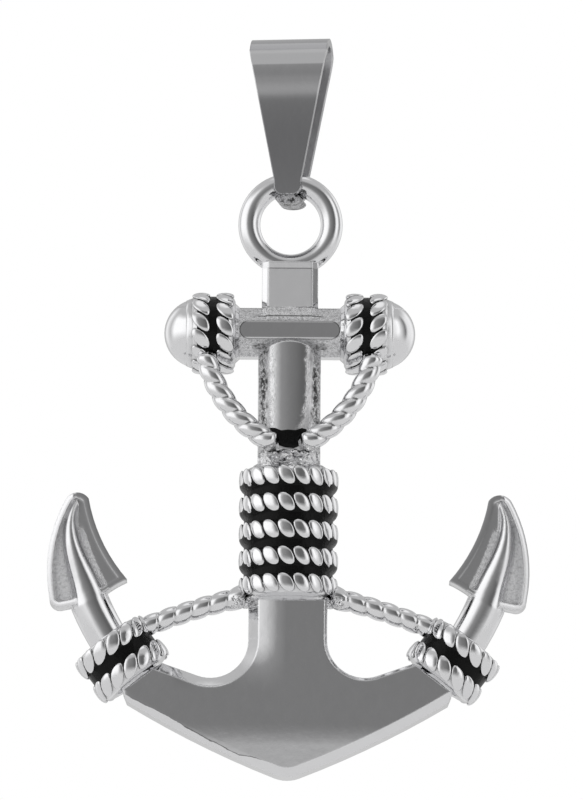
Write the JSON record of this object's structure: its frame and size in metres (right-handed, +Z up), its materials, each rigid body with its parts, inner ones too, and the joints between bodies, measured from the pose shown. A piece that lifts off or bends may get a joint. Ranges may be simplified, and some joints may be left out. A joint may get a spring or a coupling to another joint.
{
  "type": "anchor pendant",
  "caption": "Polished steel anchor pendant with twisted rope lashings, black enamel grooves and a folded bail to hang it from a chain.",
  "frame": {"origin": "highest point inside the bail's fold, where a chain carries the pendant", "axes": "+Z up, the anchor's front faces -Y, its stock runs along X"},
  "size_m": [0.0376, 0.008, 0.0585],
  "materials": {
    "polished_steel": "mirror polished stainless steel",
    "cast_steel": "polished casting with sandy recesses",
    "rope_steel": "polished rope relief",
    "black_enamel": "glossy black enamel"
  },
  "bodies": {
    "bail": {"bail": "polished_steel"},
    "anchor": {"anchor": "cast_steel", "stock_lashing_left": "rope_steel", "stock_lashing_right": "rope_steel", "drape_rope_left": "rope_steel", "drape_rope_right": "rope_steel", "shank_lashing": "rope_steel", "arm_stay_left": "rope_steel", "arm_stay_right": "rope_steel", "arm_lashing_left": "rope_steel", "arm_lashing_right": "rope_steel", "shank_enamel_1": "black_enamel", "shank_enamel_2": "black_enamel", "shank_enamel_3": "black_enamel", "shank_enamel_4": "black_enamel", "stock_enamel_left": "black_enamel", "stock_enamel_right": "black_enamel", "arm_enamel_left": "black_enamel", "arm_enamel_right": "black_enamel", "drape_enamel": "black_enamel"}
  },
  "joints": [
    {"name": "ring_swing", "type": "hinge", "parent": "bail", "child": "anchor", "pos_m": [0, 0, -0.01093], "axis": [1, 0, 0], "range_deg": [-85, 85]}
  ]
}
